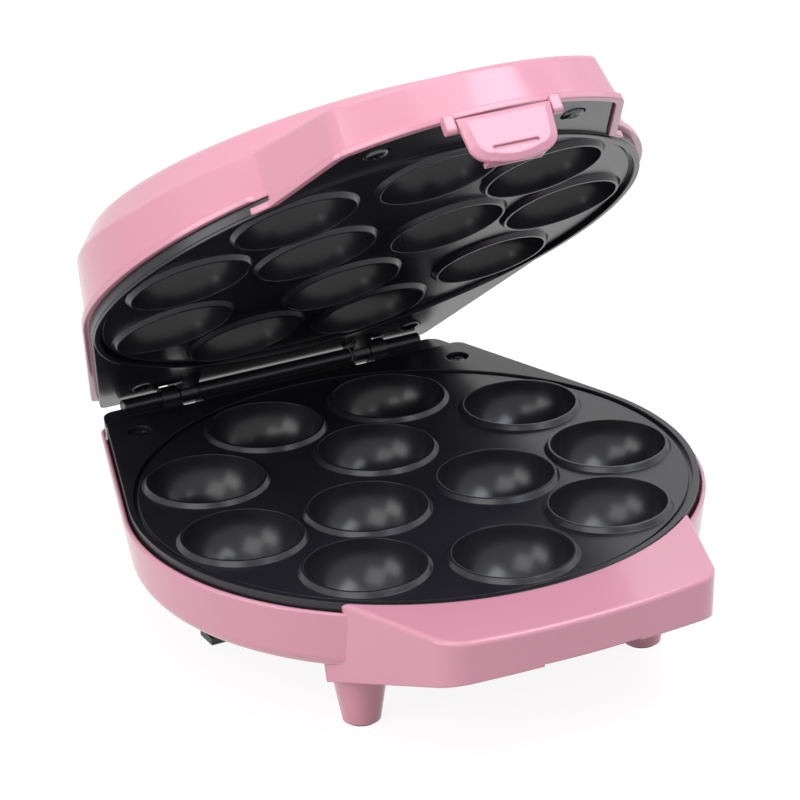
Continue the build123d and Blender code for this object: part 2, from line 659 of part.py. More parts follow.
def latch():
    top_z = RIM_Z - LATCH_TOP_DROP
    low_z = top_z - LATCH_L
    half = LATCH_W / 2
    low_half = half - LATCH_TAPER
    bow = ThreePointArc((-low_half, low_z + LATCH_BOW), (0, low_z), (low_half, low_z + LATCH_BOW))
    rest = Polyline(
        (low_half, low_z + LATCH_BOW), (half, top_z), (-half, top_z), (-low_half, low_z + LATCH_BOW)
    )
    face = make_face([bow, *rest.edges()])
    face = fillet(face.vertices().sort_by(Axis.Y)[:2], LATCH_CORNER_R)
    front_y = LID_HANDLE_FRONT_Y
    plate = Pos(0, front_y + LATCH_T, 0) * extrude(Plane.XZ * face, LATCH_T)
    front_edges = [e for e in plate.edges() if e.bounding_box().max.Y < front_y + 0.1 and e.center().Z < top_z - 1]
    plate = fillet(front_edges, LATCH_EDGE_ROUND)
    knuckle = Pos(0, LATCH_PIN_Y, LATCH_PIN_Z) * Rot(0, 90, 0) * Cylinder(LATCH_KNUCKLE_R, LATCH_W)
    lip_top = RIM_Z - BASE_HANDLE_FOOT_DROP - LATCH_CATCH_GAP
    lip_half = low_half - LATCH_CORNER_R
    lip = box((-lip_half, lip_half), (front_y + 1, LATCH_PIN_Y + LATCH_LIP), (lip_top - LATCH_LIP_T, lip_top))
    grip_z = (low_z + LATCH_BOW + 3, low_z + LATCH_BOW + 4)
    grip = box((-LATCH_GRIP_L / 2, LATCH_GRIP_L / 2), (front_y - 1, front_y + 0.6), grip_z)
    grip = fillet(grip.edges().filter_by(Axis.Y), 0.45)
    bore = Pos(0, LATCH_PIN_Y, LATCH_PIN_Z) * Rot(0, 90, 0) * Cylinder(LATCH_PIN_R + PIN_RUNNING_FIT, 60)
    return plate + knuckle + lip - grip - bore


def latch_pin():
    length = LATCH_W + 2 * LATCH_SIDE_GAP + 4
    return Pos(0, LATCH_PIN_Y, LATCH_PIN_Z) * Rot(0, 90, 0) * Cylinder(LATCH_PIN_R, length)


def hinge_pins():
    length = EAR_X + EAR_W - LUG_X
    middle = LUG_X + length / 2
    pin = Rot(0, 90, 0) * Cylinder(HINGE_PIN_R, length)
    return [Pos(side * middle, HINGE_Y, HINGE_Z) * pin for side in (-1, 1)]


# Heating, drawn under the lower plate with its cavity rims at Z = 0


def heating_element():
    """A six-sided pressed tube bent to an open ring, with both ends led to the rear."""
    section = RegularPolygon(ELEMENT_R, 6, major_radius=False)
    ring = revolve(Plane.XZ * (Pos(ELEMENT_RING_R, 0) * section), Axis.Z)
    joint_y = math.sqrt(ELEMENT_RING_R**2 - ELEMENT_LEAD_X**2)
    ring -= box((-ELEMENT_LEAD_X, ELEMENT_LEAD_X), (0, ELEMENT_RING_R * 2), (-10, 10))
    lead = Pos(0, joint_y, 0) * extrude(Plane.XZ * section, -(ELEMENT_LEAD_REAR_Y - joint_y))
    tube = ring + [Pos(x, 0, 0) * lead for x in (-ELEMENT_LEAD_X, ELEMENT_LEAD_X)]
    return Pos(0, 0, -ELEMENT_DEPTH) * tube


def small_screw(length):
    """Head below Z = 0 and shank above it."""
    head = cylinder(SMALL_SCREW_HEAD_R, -SMALL_SCREW_HEAD_H, 0)
    return head + cylinder(SMALL_SCREW_R, 0, length)


def element_clamps():
    """Flat straps screwed under the bosses, each holding the tube up."""
    top_z = -ELEMENT_DEPTH - ELEMENT_R - PART_GAP
    inner_r = CLAMP_PITCH_R - CLAMP_W / 2
    outer_r = ELEMENT_RING_R + CLAMP_W / 2
    strap = box((inner_r, outer_r), (-CLAMP_W / 2, CLAMP_W / 2), (top_z - CLAMP_T, top_z))
    strap = fillet(strap.edges().filter_by(Axis.Z), 2)
    strap -= cylinder(SMALL_SCREW_R + PART_GAP, top_z - 5, top_z + 5, (CLAMP_PITCH_R, 0))
    screw = Pos(CLAMP_PITCH_R, 0, top_z - CLAMP_T - PART_GAP) * small_screw(6)
    return [Rot(0, 0, angle) * piece for angle in CLAMP_ANGLES for piece in (strap, screw)]


def heat_shield():
    top_z = -SHIELD_DEPTH - PART_GAP
    disc = cylinder(SHIELD_R, top_z - SHIELD_T, top_z)
    for angle in SHIELD_POST_ANGLES:
        disc -= cylinder(SMALL_SCREW_R + PART_GAP, top_z - 5, top_z + 5, polar(SHIELD_POST_PITCH_R, angle))
    return disc


def shield_screws():
    head_z = -SHIELD_DEPTH - 2 * PART_GAP - SHIELD_T
    screw = small_screw(7)
    places = [polar(SHIELD_POST_PITCH_R, angle) for angle in SHIELD_POST_ANGLES]
    return [Pos(x, y, head_z) * screw for x, y in places]


def thermostat():
    top_z = -THERMOSTAT_DEPTH - PART_GAP
    can = cylinder(THERMOSTAT_R, top_z - THERMOSTAT_H, top_z)
    return can + cylinder(THERMOSTAT_R - 2.5, top_z - THERMOSTAT_H - 2, top_z - THERMOSTAT_H)


def thermal_fuse():
    """A small sleeve that lies on the heat shield between two cavities."""
    place = Rot(0, 0, FUSE_DEG) * Pos(FUSE_PITCH_R, 0, FUSE_R - SHIELD_DEPTH)
    return place * Rot(0, 90, 0) * Cylinder(FUSE_R, FUSE_L)


# Screws and fittings of the two housings


def pan_screw(length):
    """Head above Z = 0 and shank below it."""
    return cylinder(SCREW_HEAD_R, 0, SCREW_HEAD_H) + cylinder(SCREW_R, -length, 0)


def lower_plate_screws():
    z = RIM_Z - LOWER_SCREW_RECESS - 1 + PART_GAP
    return [Pos(x, y, z) * pan_screw(SCREW_L) for x, y in both_sides(LOWER_SCREW_X, LOWER_SCREW_Y)]


def base_fixing_screws():
    z = RIM_Z - FRONT_FIXING_DEPTH - SEAT_GAP - 3 - PART_GAP
    screw = mirror(pan_screw(SCREW_L), Plane.XY)
    return [Pos(x, y, z) * screw for x, y in both_sides(FRONT_FIXING_X, FRONT_FIXING_Y)]


def upper_plate_screws():
    z = UPPER_RIM_Z + UPPER_FLANGE_DEPTH + UPPER_SCREW_RECESS - PART_GAP
    screw = mirror(pan_screw(UPPER_SCREW_L), Plane.XY)
    places = both_sides(UPPER_REAR_SCREW_X, UPPER_REAR_SCREW_Y)
    places += both_sides(UPPER_FRONT_SCREW_X, UPPER_FRONT_SCREW_Y)
    return [Pos(x, y, z) * screw for x, y in places]


def terminal_block():
    """A small block on the inside of the base's rear wall, with a channel for each wire."""
    rear = BASE_REAR_Y - BASE_WALL - PART_GAP
    top = RIM_Z - TERMINAL_DROP
    half = TERMINAL_W / 2
    block = box((-half, half), (rear - TERMINAL_D, rear), (top - TERMINAL_H, top))
    for k in (-1, 0, 1):
        block -= Pos(k * TERMINAL_W / 3.3, rear - TERMINAL_D, top - TERMINAL_H / 2) * Rot(90, 0, 0) * Cylinder(2, 8)
    return block


def cord_bushing():
    """The sleeve in the rear wall through which a mains lead enters."""
    length = BASE_WALL + 2
    sleeve = Rot(90, 0, 0) * Cylinder(BUSHING_R, length)
    flange = Pos(0, length / 2 + 1.25, 0) * Rot(90, 0, 0) * Cylinder(BUSHING_FLANGE_R, 2.5)
    bore = Rot(90, 0, 0) * Cylinder(BUSHING_BORE_R, 40)
    place = Pos(BUSHING_X, BASE_REAR_Y + PART_GAP - length / 2, RIM_Z - BUSHING_DROP)
    return place * (sleeve + flange - bore)


def cord_cleats():
    """A hook on each side under the floor, to wind a mains lead round."""
    floor_z = RIM_Z - BASE_FLOOR_DROP - PART_GAP
    y_range = (CLEAT_Y - CLEAT_W / 2, CLEAT_Y + CLEAT_W / 2)
    stem = box((CLEAT_X - 3, CLEAT_X), y_range, (CLEAT_TIP_Z, floor_z))
    foot = box((CLEAT_X - 6, CLEAT_X), y_range, (floor_z - 2, floor_z))
    tip = box((CLEAT_X - 3, CLEAT_X + 6), y_range, (CLEAT_TIP_Z, CLEAT_TIP_Z + 2.4))
    hook = stem + foot + tip
    return [hook, mirror(hook, Plane.YZ)]


def light_lens():
    """A domed lens with a hollow skirt, drawn at the roof's surface."""
    dome = cylinder(LENS_R + 1.2, 0.1, 1.1)
    dome += Pos(0, 0, 1.1) * Cone(LENS_R + 1.2, LENS_R - 1, 0.9, align=(Align.CENTER, Align.CENTER, Align.MIN))
    skirt = cylinder(LENS_R, -LENS_SKIRT_L, 0.1)
    return dome + skirt - cylinder(LAMP_R + PART_GAP, -LENS_SKIRT_L, -1)


def indicator_lamps():
    lamp = cylinder(LAMP_R, -LENS_SKIRT_L - 3, -1 - PART_GAP)
    return [place * lamp for place in lens_places()]


# Assembly


def under_lower(shape):
    return Pos(0, 0, RIM_Z) * shape


def over_upper(shape):
    return Pos(0, 0, UPPER_RIM_Z) * mirror(shape, Plane.XY)


def in_place(shape):
    return Pos(0, PLATE_CENTRE_Y, 0) * shape


def opened(shape):
    """Turns a piece of the lid about the hinge line from closed to its rest."""
    hinge = Pos(0, HINGE_Y, HINGE_Z)
    back = Pos(0, -HINGE_Y, -HINGE_Z)
    return in_place(hinge * Rot(-LID_OPEN_DEG, 0, 0) * back * shape)


def write(name, shapes, place):
    solids = []
    for shape in shapes if isinstance(shapes, list) else [shapes]:
        solids += place(shape).solids()
    export_step(Compound(children=solids) if len(solids) > 1 else solids[0], f"parts/{name}.step")


def base_pieces():
    return {
        "base_shell": base_shell(),
        "lower_plate": lower_plate(),
        "lower_plate_screws": lower_plate_screws(),
        "base_fixing_screws": base_fixing_screws(),
        "lower_heating_element": under_lower(heating_element()),
        "lower_element_clamps": [under_lower(piece) for piece in element_clamps()],
        "lower_heat_shield": under_lower(heat_shield()),
        "lower_shield_screws": [under_lower(piece) for piece in shield_screws()],
        "base_thermostat": under_lower(thermostat()),
        "thermal_fuse": under_lower(thermal_fuse()),
        "terminal_block": terminal_block(),
        "cord_bushing": cord_bushing(),
        "foot_pads": foot_pads(),
        "cord_cleats": cord_cleats(),
        "hinge_pins": hinge_pins(),
    }


def lid_pieces():
    left, right = lens_places()
    return {
        "lid_shell": lid_shell(),
        "upper_plate": upper_plate(),
        "upper_plate_screws": upper_plate_screws(),
        "upper_heating_element": over_upper(heating_element()),
        "upper_element_clamps": [over_upper(piece) for piece in element_clamps()],
        "upper_heat_shield": over_upper(heat_shield()),
        "upper_shield_screws": [over_upper(piece) for piece in shield_screws()],
        "lid_thermostat": over_upper(thermostat()),
        "power_light_lens": left * light_lens(),
        "ready_light_lens": right * light_lens(),
        "indicator_lamps": indicator_lamps(),
        "latch_pin": latch_pin(),
        "latch": latch(),
    }


os.makedirs("parts", exist_ok=True)
for name, shapes in base_pieces().items():
    write(name, shapes, in_place)
for name, shapes in lid_pieces().items():
    write(name, shapes, opened)
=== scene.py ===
import math

import bmesh
import bpy
from mathutils import Matrix, Vector


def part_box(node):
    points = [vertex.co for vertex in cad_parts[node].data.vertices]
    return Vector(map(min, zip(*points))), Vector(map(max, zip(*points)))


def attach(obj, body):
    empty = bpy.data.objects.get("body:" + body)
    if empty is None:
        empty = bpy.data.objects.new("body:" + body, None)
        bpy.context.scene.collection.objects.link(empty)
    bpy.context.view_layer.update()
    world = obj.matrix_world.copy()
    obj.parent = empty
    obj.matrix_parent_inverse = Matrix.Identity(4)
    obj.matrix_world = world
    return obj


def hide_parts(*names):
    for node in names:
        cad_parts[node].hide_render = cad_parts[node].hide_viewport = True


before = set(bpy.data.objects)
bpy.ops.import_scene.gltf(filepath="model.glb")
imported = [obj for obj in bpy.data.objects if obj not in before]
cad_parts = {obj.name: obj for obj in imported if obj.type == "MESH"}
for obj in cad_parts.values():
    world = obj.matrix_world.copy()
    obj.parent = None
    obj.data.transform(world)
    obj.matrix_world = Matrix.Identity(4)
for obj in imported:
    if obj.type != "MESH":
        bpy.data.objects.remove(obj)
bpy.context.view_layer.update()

# A pink cake pop maker, standing open. The pieces of the frame keep their shapes and get their
# finishes here, and the plate screws and the latch are replaced by finer ones.

MM = 0.001

# The plates and hinge, as the frame has them
PLATE_CENTRE = Vector((0, -2.68, 48.6)) * MM
LID_OPEN = math.radians(39.2)
HINGE = Vector((0, 103.82, 46.84)) * MM

# Pan head screws with a cross recess, in millimetres
SCREW_HEAD_R = 3.5
SCREW_HEAD_H = 2.0
SCREW_CROWN = 0.55
SCREW_RIM_DROP = 0.5  # from the head's height down to its widest ring
SCREW_CROWN_DEGREES = (0, 18, 36, 52, 66, 78)
SCREW_SHANK_R = 1.6
SCREW_TIP_L = 2
SCREW_SIDES = 40
RECESS_REACH = 1.9
RECESS_W = 0.95
RECESS_DEPTH = 1.3
RECESS_TIP = 0.45  # the cross's reach at its bottom, as a share of that at the top
RECESS_OVERCUT = (0.3, 0.5)  # how far its cutter passes the head, outwards and upwards

# Where the plate screws sit, in millimetres, with the turn of each cross in radians. Those of the
# lid are placed as when it is closed, from the middle of the plate
LOWER_SCREW_L = 12.8
LOWER_SCREW_TURNS = (0.4, 1.1)
UPPER_SCREW_L = 10.8
UPPER_SCREW_Z = 51.3
UPPER_REAR_SCREW = (51.6, 97.2)
UPPER_REAR_TURNS = (0.2, 0.9)
UPPER_FRONT_SCREW = (33.2, -100.7)
UPPER_FRONT_TURNS = (1.2, 0.5)

# Latch plate with a broad chamfer, in millimetres, as when the lid is closed, from the middle of
# the plate
LATCH_TOP_Z = 48.4
LATCH_FOOT_Z = 32.4
LATCH_HALF_W = 15.7
LATCH_TAPER = 1.0
LATCH_BOW = 1.4
LATCH_CORNER_R = 6.0
LATCH_STEPS = 8  # in each corner, and along the foot
LATCH_BACK_Y = -120.4
LATCH_EDGE_Y = -122.0
LATCH_FRONT_Y = -123.1
LATCH_BACK_BREAK = (0.3, 0.5)  # how deep the back's broken edge is, and how far in
LATCH_CHAMFER = 2.4
LATCH_TOP_LEAN = 0.6  # the chamfer at the top, the foot and the corners, as shares of that at the sides
LATCH_FOOT_LEAN = 0.8
LATCH_CORNER_LEAN = 0.6
LATCH_GRIP_Z = 37.3
LATCH_GRIP_HALF_W = 7.7
LATCH_GRIP_W = 1.0
LATCH_GRIP_DEPTH = 0.7
LATCH_GRIP_SIDES = 16
LATCH_PIN = (-120.3, 46.0)
LATCH_KNUCKLE_R = 1.5
LATCH_KNUCKLE_HALF_W = 15.6
LATCH_KNUCKLE_SIDES = 24
CATCH_LIP_Z = (33.55, 34.95)
CATCH_LIP_Y = (-122.0, -116.7)
CATCH_LIP_HALF_W = 9.5

# The camera stands where the photograph was taken from
CAMERA_AZIMUTH = math.radians(-26.38)
CAMERA_HEIGHT = math.radians(24.25)
CAMERA_ROLL = math.radians(-2.41)
CAMERA_DISTANCE = 1.165
CAMERA_LENS = 161.2
CAMERA_SENSOR = 36.0
CAMERA_SHIFT = (-0.0158, 0.0932)
CAMERA_CLIP = (0.05, 20)

# Studio light, in watts, and the room's own
FRONT_POWER = 7.8
LEFT_POWER = 4.6
FILL_POWER = 4.4
TOP_POWER = 3.6
RIGHT_POWER = 0.8
COOL_WHITE = "#EEF2FF"
ROOM_LIGHT = 0.32

# The floor, in metres: its own paper mixed with a glow that only seen rays get, which with a third
# of the paper's shading comes to a full white
FLOOR_REACH = 3.0
FLOOR_SHADE = 0.5
FLOOR_GLOW = 1.36
FLOOR_GLOW_SHARE = 0.66


# Nodes


def hex_colour(code):
    """An sRGB hex colour as linear RGBA."""
    parts = [int(code[i : i + 2], 16) / 255 for i in (1, 3, 5)]
    linear = [p / 12.92 if p <= 0.04045 else ((p + 0.055) / 1.055) ** 2.4 for p in parts]
    return (*linear, 1.0)


def node(tree, kind, settings=None, **links):
    """Adds a node with its settings, and feeds its inputs by name from sockets or plain values."""
    made = tree.nodes.new("ShaderNode" + kind)
    for key, value in (settings or {}).items():
        setattr(made, key, value)
    for name, value in links.items():
        socket = made.inputs[name.replace("_", " ")]
        if isinstance(value, bpy.types.NodeSocket):
            tree.links.new(value, socket)
        else:
            socket.default_value = value
    return made


def finish(name, **shader):
    """A new material with one Principled shader, and its tree and shader."""
    made = bpy.data.materials.new(name)
    made.use_nodes = True
    tree = made.node_tree
    bsdf = tree.nodes["Principled BSDF"]
    for key, value in shader.items():
        bsdf.inputs[key.replace("_", " ")].default_value = value
    return made, tree, bsdf


def rounded(tree, radius_mm, **bump):
    """Softens sharp corners in the shading, as a tool's radius or a coat of paint does."""
    edge = node(tree, "Bevel", {"samples": 6}, Radius=radius_mm * MM)
    return node(tree, "Bump", Normal=edge.outputs["Normal"], **bump).outputs["Normal"]


# Finishes


def moulded_pink():
    """Glossy ABS, injection moulded: an even pastel under a hard shine, faintly wavy where it cooled."""
    made, tree, bsdf = finish("moulded_pink", IOR=1.53)
    place = node(tree, "TexCoord").outputs["Object"]
    sink = node(tree, "TexNoise", Vector=place, Scale=1 / (60 * MM), Detail=1.0)
    normal = rounded(tree, 0.9, Height=sink.outputs["Fac"], Strength=0.05, Distance=0.4 * MM)
    tree.links.new(normal, bsdf.inputs["Normal"])
    drift = node(tree, "TexNoise", Vector=place, Scale=1 / (45 * MM), Detail=2.0)
    tint = node(tree, "ValToRGB", Fac=drift.outputs["Fac"])
    tint.color_ramp.elements[0].color = hex_colour("#DF98AC")
    tint.color_ramp.elements[1].color = hex_colour("#E4A0B3")
    tree.links.new(tint.outputs["Color"], bsdf.inputs["Base Color"])
    gloss = node(tree, "MapRange", Value=drift.outputs["Fac"], To_Min=0.12, To_Max=0.19)
    tree.links.new(gloss.outputs["Result"], bsdf.inputs["Roughness"])
    return made


def nonstick_coating():
    """Fluoropolymer sprayed on cast aluminium: near black, satin, with a fine orange peel."""
    made, tree, bsdf = finish("nonstick_coating", IOR=1.46)
    place = node(tree, "TexCoord").outputs["Object"]
    peel = node(tree, "TexNoise", Vector=place, Scale=1 / (0.9 * MM), Detail=3.0)
    normal = rounded(tree, 0.45, Height=peel.outputs["Fac"], Strength=0.16, Distance=0.06 * MM)
    tree.links.new(normal, bsdf.inputs["Normal"])
    cloud = node(tree, "TexNoise", Vector=place, Scale=1 / (30 * MM), Detail=4.0)
    tint = node(tree, "ValToRGB", Fac=cloud.outputs["Fac"])
    tint.color_ramp.elements[0].color = hex_colour("#1A1A1F")
    tint.color_ramp.elements[1].color = hex_colour("#2A292F")
    tree.links.new(tint.outputs["Color"], bsdf.inputs["Base Color"])
    gloss = node(tree, "MapRange", Value=cloud.outputs["Fac"], To_Min=0.2, To_Max=0.3)
    tree.links.new(gloss.outputs["Result"], bsdf.inputs["Roughness"])
    return made


def zinc_plated_steel(name="zinc_plated_steel", colour="#8E9094", roughness=0.32):
    """Steel plated with zinc in a barrel: a cool, bright metal of slightly uneven gloss."""
    made, tree, bsdf = finish(name, Metallic=1.0, Base_Color=hex_colour(colour))
    place = node(tree, "TexCoord").outputs["Object"]
    streak = node(tree, "TexNoise", Vector=place, Scale=1 / (1.5 * MM), Detail=3.0)
    gloss = node(
        tree, "MapRange", Value=streak.outputs["Fac"], To_Min=roughness - 0.06, To_Max=roughness + 0.08
    )
    tree.links.new(gloss.outputs["Result"], bsdf.inputs["Roughness"])
    return made


def blackened_steel():
    """Steel dipped in black oxide: darker than bare steel, and satin."""
    return zinc_plated_steel("blackened_steel", "#5A5B60", 0.28)


def element_tube():
    """Steel tube of a heating element, baked by its own heat: brownish and dull."""
    return zinc_plated_steel("element_tube", "#6B6763", 0.5)


def rolled_sheet():
    """Bright aluminium sheet, with the fine lines of the rolling mill drawn along its shine."""
    made, tree, bsdf = finish("rolled_sheet", Metallic=1.0, Base_Color=hex_colour("#C9CBCF"))
    place = node(tree, "TexCoord").outputs["Object"]
    stretch = node(tree, "Mapping", Vector=place, Scale=(1.0, 40.0, 40.0))
    lines = node(tree, "TexNoise", Vector=stretch.outputs["Vector"], Scale=1 / (12 * MM), Detail=2.0)
    gloss = node(tree, "MapRange", Value=lines.outputs["Fac"], To_Min=0.22, To_Max=0.36)
    tree.links.new(gloss.outputs["Result"], bsdf.inputs["Roughness"])
    return made


def moulded_black(name, roughness, grain_mm):
    """Black plastic or rubber, moulded in a spark-eroded tool, whose grain keeps it matt.

    The grain is drawn coarser than a real one, which would be too fine to show.
    """
    made, tree, bsdf = finish(name, Base_Color=hex_colour("#161617"), Roughness=roughness)
    place = node(tree, "TexCoord").outputs["Object"]
    grain = node(tree, "TexNoise", Vector=place, Scale=1 / (grain_mm * MM), Detail=2.0)
    bump = node(tree, "Bump", Height=grain.outputs["Fac"], Strength=0.3, Distance=0.05 * MM)
    tree.links.new(bump.outputs["Normal"], bsdf.inputs["Normal"])
    return made


def natural_nylon():
    """Nylon moulded without a dye: milky, with a soft waxy shine."""
    made, tree, bsdf = finish("natural_nylon", Base_Color=hex_colour("#E4E0D2"), Roughness=0.45)
    place = node(tree, "TexCoord").outputs["Object"]
    haze = node(tree, "TexNoise", Vector=place, Scale=1 / (4 * MM), Detail=2.0)
    bump = node(tree, "Bump", Height=haze.outputs["Fac"], Strength=0.1, Distance=0.05 * MM)
    tree.links.new(bump.outputs["Normal"], bsdf.inputs["Normal"])
    return made


def tinted_lens(name, colour):
    """Acrylic dyed through and moulded smooth: a clear colour with sharp glints."""
    made, tree, bsdf = finish(
        name, Base_Color=hex_colour(colour), Roughness=0.06, IOR=1.49, Transmission_Weight=0.35
    )
    place = node(tree, "TexCoord").outputs["Object"]
    ripple = node(tree, "TexNoise", Vector=place, Scale=1 / (2.5 * MM), Detail=1.0)
    bump = node(tree, "Bump", Height=ripple.outputs["Fac"], Strength=0.08, Distance=0.05 * MM)
    tree.links.new(bump.outputs["Normal"], bsdf.inputs["Normal"])
    return made


# Meshes


def circle(count):
    return [2 * math.pi * k / count for k in range(count)]


def to_object(name, mesh):
    data = bpy.data.meshes.new(name)
    mesh.to_mesh(data)
    mesh.free()
    made = bpy.data.objects.new(name, data)
    bpy.context.scene.collection.objects.link(made)
    return made


def cut_by(name, mesh, tool):
    """The first mesh less the second, both closed."""
    blank = to_object(name, mesh)
    driver = to_object(name + "_tool", tool)
    cut = blank.modifiers.new("cut", "BOOLEAN")
    cut.operation = "DIFFERENCE"
    cut.solver = "EXACT"
    cut.object = driver
    cut.use_self = True
    graph = bpy.context.evaluated_depsgraph_get()
    done = bpy.data.meshes.new_from_object(blank.evaluated_get(graph))
    for spare in (blank, driver):
        bpy.data.objects.remove(spare)
    return done


def turned(mesh, profile, sides):
    """Spins a profile of (radius, height) points round Z into a closed skin."""
    rings = [
        [mesh.verts.new((radius * math.cos(a), radius * math.sin(a), height)) for a in circle(sides)]
        for radius, height in profile
    ]
    for low, high in zip(rings, rings[1:]):
        for k in range(sides):
            n = (k + 1) % sides
            mesh.faces.new((low[k], low[n], high[n], high[k])).smooth = True
    mesh.faces.new(reversed(rings[0]))
    mesh.faces.new(rings[-1])


def skin(mesh, loops):
    """Joins loops of equally many points into one closed skin."""
    rings = [[mesh.verts.new(point) for point in loop] for loop in loops]
    count = len(rings[0])
    for low, high in zip(rings, rings[1:]):
        for k in range(count):
            n = (k + 1) % count
            mesh.faces.new((low[k], low[n], high[n], high[k]))
    mesh.faces.new(rings[0])
    mesh.faces.new(rings[-1])
    bmesh.ops.recalc_face_normals(mesh, faces=mesh.faces)


def bar(mesh, outline, depths):
    """An outline in X and Z, drawn out along Y from one depth to the other."""
    skin(mesh, [[(x, depth, z) for x, z in outline] for depth in depths])


def lid_place():
    """From the closed lid, about the middle of the plate, to the lid as it stands open."""
    to_hinge = Matrix.Translation(HINGE)
    middle = Matrix.Translation((0, PLATE_CENTRE.y, 0))
    return to_hinge @ Matrix.Rotation(-LID_OPEN, 4, "X") @ to_hinge.inverted() @ middle


# Plate screws


def cross_cutter():
    """The tapered point of a cross driver, point down in a screw's head."""
    mesh = bmesh.new()
    top = SCREW_HEAD_H + SCREW_CROWN
    over_reach, over_top = RECESS_OVERCUT
    ends = ((top + over_top, RECESS_REACH + over_reach), (top - RECESS_DEPTH, RECESS_REACH * RECESS_TIP))
    sides = [(k, (k + 1) % 4, (k + 1) % 4 + 4, k + 4) for k in range(4)]
    for turn in (0, math.pi / 2):
        arm = Matrix.Rotation(turn, 4, "Z")
        corners = []
        for z, reach in ends:
            for x, y in ((-1, -1), (1, -1), (1, 1), (-1, 1)):
                corners.append(mesh.verts.new(arm @ Vector((x * reach, y * RECESS_W / 2, z))))
        for ring in ((3, 2, 1, 0), (4, 5, 6, 7), *sides):
            mesh.faces.new([corners[k] for k in ring])
    bmesh.ops.recalc_face_normals(mesh, faces=mesh.faces)
    return mesh


def screw_mesh(length):
    """One pan head screw, its head above Z = 0 and its shank below, with a cross recess."""
    shank = [
        (SCREW_SHANK_R * 0.5, -length),
        (SCREW_SHANK_R, -length + SCREW_TIP_L),
        (SCREW_SHANK_R, 0),
    ]
    rim_z = SCREW_HEAD_H - SCREW_RIM_DROP
    crown_h = SCREW_CROWN + SCREW_RIM_DROP
    crown = [
        (SCREW_HEAD_R * math.cos(a), rim_z + crown_h * math.sin(a))
        for a in map(math.radians, SCREW_CROWN_DEGREES)
    ]
    mesh = bmesh.new()
    turned(mesh, [*shank, (SCREW_HEAD_R, 0), *crown], SCREW_SIDES)
    return cut_by("screw", mesh, cross_cutter())


def plate_screws(name, node_name, body, places, length, made_of):
    """Screws at their places in one piece, which stands for the frame's plain ones."""
    one = screw_mesh(length)
    mesh = bmesh.new()
    for place in places:
        mesh.from_mesh(one)
        fresh = [v for v in mesh.verts if not v.tag]
        bmesh.ops.transform(mesh, matrix=place @ Matrix.Scale(MM, 4), verts=fresh)
        for vert in fresh:
            vert.tag = True
    piece = to_object(name, mesh)
    piece.data.materials.append(made_of)
    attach(piece, body)
    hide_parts(node_name)


def lower_screw_places():
    """The heads up, where the frame has its plain screws."""
    low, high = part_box("lower_plate_screws")
    x = high.x - SCREW_HEAD_R * MM
    y = (low.y + high.y) / 2
    z = high.z - SCREW_HEAD_H * MM
    return [
        Matrix.Translation((side * x, y, z)) @ Matrix.Rotation(turn, 4, "Z")
        for side, turn in zip((-1, 1), LOWER_SCREW_TURNS)
    ]


def upper_screw_places():
    """The heads down, and carried up by the open lid."""
    over = Matrix.Rotation(math.pi, 4, "X")
    places = []
    for (x, y), turns in ((UPPER_REAR_SCREW, UPPER_REAR_TURNS), (UPPER_FRONT_SCREW, UPPER_FRONT_TURNS)):
        for side, turn in zip((-1, 1), turns):
            seat = Matrix.Translation(Vector((side * x, y, UPPER_SCREW_Z)) * MM)
            places.append(lid_place() @ seat @ over @ Matrix.Rotation(turn, 4, "Z"))
    return places


def all_plate_screws(made_of):
    lower = lower_screw_places()
    plate_screws("lower_plate_cross_screws", "lower_plate_screws", "base", lower, LOWER_SCREW_L, made_of)
    upper = upper_screw_places()
    plate_screws("upper_plate_cross_screws", "upper_plate_screws", "lid", upper, UPPER_SCREW_L, made_of)


# Latch


def latch_outline(inset):
    """The latch's front view, set in by some millimetres: straight top, leaning sides, bowed foot."""
    top = LATCH_TOP_Z - inset * LATCH_TOP_LEAN
    foot = LATCH_FOOT_Z + inset * LATCH_FOOT_LEAN
    corner_r = LATCH_CORNER_R - inset * LATCH_CORNER_LEAN
    half = LATCH_HALF_W - inset
    reach = half - LATCH_TAPER - corner_r
    corner = []
    for k in range(LATCH_STEPS + 1):
        turn = math.pi / 2 * k / LATCH_STEPS
        z = foot + LATCH_BOW + corner_r - corner_r * math.sin(turn)
        corner.append((reach + corner_r * math.cos(turn), z))
    shares = [1 - 2 * k / LATCH_STEPS for k in range(1, LATCH_STEPS)]
    bow = [(reach * share, foot + LATCH_BOW * share**2) for share in shares]
    other_corner = [(-x, z) for x, z in reversed(corner)]
    return [(half, top), *corner, *bow, *other_corner, (-half, top)]


def grip_outline():
    """A slot with round ends, for the grip line."""
    end_r = LATCH_GRIP_W / 2
    outline = []
    for k in range(LATCH_GRIP_SIDES):
        turn = 2 * math.pi * (k + 0.5) / LATCH_GRIP_SIDES
        middle = math.copysign(LATCH_GRIP_HALF_W - end_r, math.cos(turn))
        outline.append((middle + end_r * math.cos(turn), LATCH_GRIP_Z + end_r * math.sin(turn)))
    return outline


def latch_plate():
    """The chamfered plate with its grip line cut in."""
    break_y, break_inset = LATCH_BACK_BREAK
    layers = (
        (LATCH_BACK_Y, break_inset),
        (LATCH_BACK_Y - break_y, 0),
        (LATCH_EDGE_Y, 0),
        (LATCH_FRONT_Y, LATCH_CHAMFER),
    )
    plate = bmesh.new()
    skin(plate, [[(x, y, z) for x, z in latch_outline(inset)] for y, inset in layers])
    grip = bmesh.new()
    bar(grip, grip_outline(), (LATCH_FRONT_Y - 1, LATCH_FRONT_Y + LATCH_GRIP_DEPTH))
    return cut_by("latch_plate", plate, grip)


